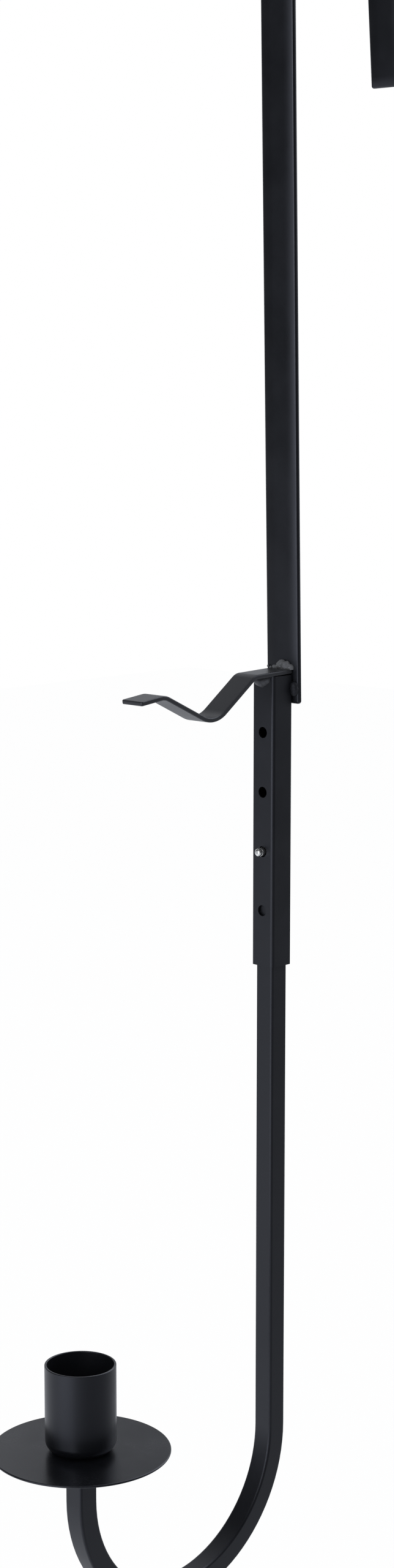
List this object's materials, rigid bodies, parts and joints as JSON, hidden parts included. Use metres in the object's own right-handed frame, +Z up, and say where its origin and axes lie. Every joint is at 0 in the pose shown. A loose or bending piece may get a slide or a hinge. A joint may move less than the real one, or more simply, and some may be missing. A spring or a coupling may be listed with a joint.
{
  "type": "over-the-door wreath hanger with candle arm",
  "caption": "Black flat strap that hangs over a door, with a bent wreath hook and a square tube arm that slides in a sleeve and carries a drip dish and taper candle cup.",
  "frame": {"origin": "middle of the underside of the strap's bridge, which sits on the door's top edge", "axes": "+X to the right of someone facing the door, +Y through the door from front to back, +Z up"},
  "size_m": [0.063, 0.1904, 0.5965],
  "materials": {
    "strap_coat": "satin black powder coat on flat steel bar",
    "hook_coat": "satin black powder coat on bent steel strip",
    "sleeve_coat": "satin black powder coat on square steel tube",
    "weld_coat": "satin black powder coat over a weld bead",
    "arm_coat": "satin black powder coat on square steel tube",
    "dish_coat": "satin black powder coat on sheet steel",
    "cup_coat": "satin black powder coat on drawn sheet steel",
    "spring_steel": "bright nickel plate on spring steel",
    "plug_steel": "plain turned steel",
    "zinc": "zinc plate"
  },
  "bodies": {
    "hanger": {"door_strap": "strap_coat", "wreath_hook": "hook_coat", "height_sleeve": "sleeve_coat", "hook_top_weld": "weld_coat", "hook_front_weld": "weld_coat", "sleeve_weld_right": "weld_coat", "sleeve_weld_left": "weld_coat"},
    "arm": {"candle_arm": "arm_coat", "arm_plug": "plug_steel", "drip_dish": "dish_coat", "candle_cup": "cup_coat", "spring_washer": "zinc", "cup_screw": "zinc"},
    "button": {"snap_button": "spring_steel"}
  },
  "joints": [
    {"name": "arm_height", "type": "slide", "parent": "hanger", "child": "arm", "axis": [0, 0, 1], "range_m": [-0.0217, 0.0434], "deforming": ["snap_button"]},
    {"name": "button_press", "type": "slide", "parent": "arm", "child": "button", "axis": [0, 1, 0], "range_m": [0, 0.0036], "stiffness_N_per_m": 500, "springref_m": -0.004, "deforming": ["snap_button"]}
  ]
}
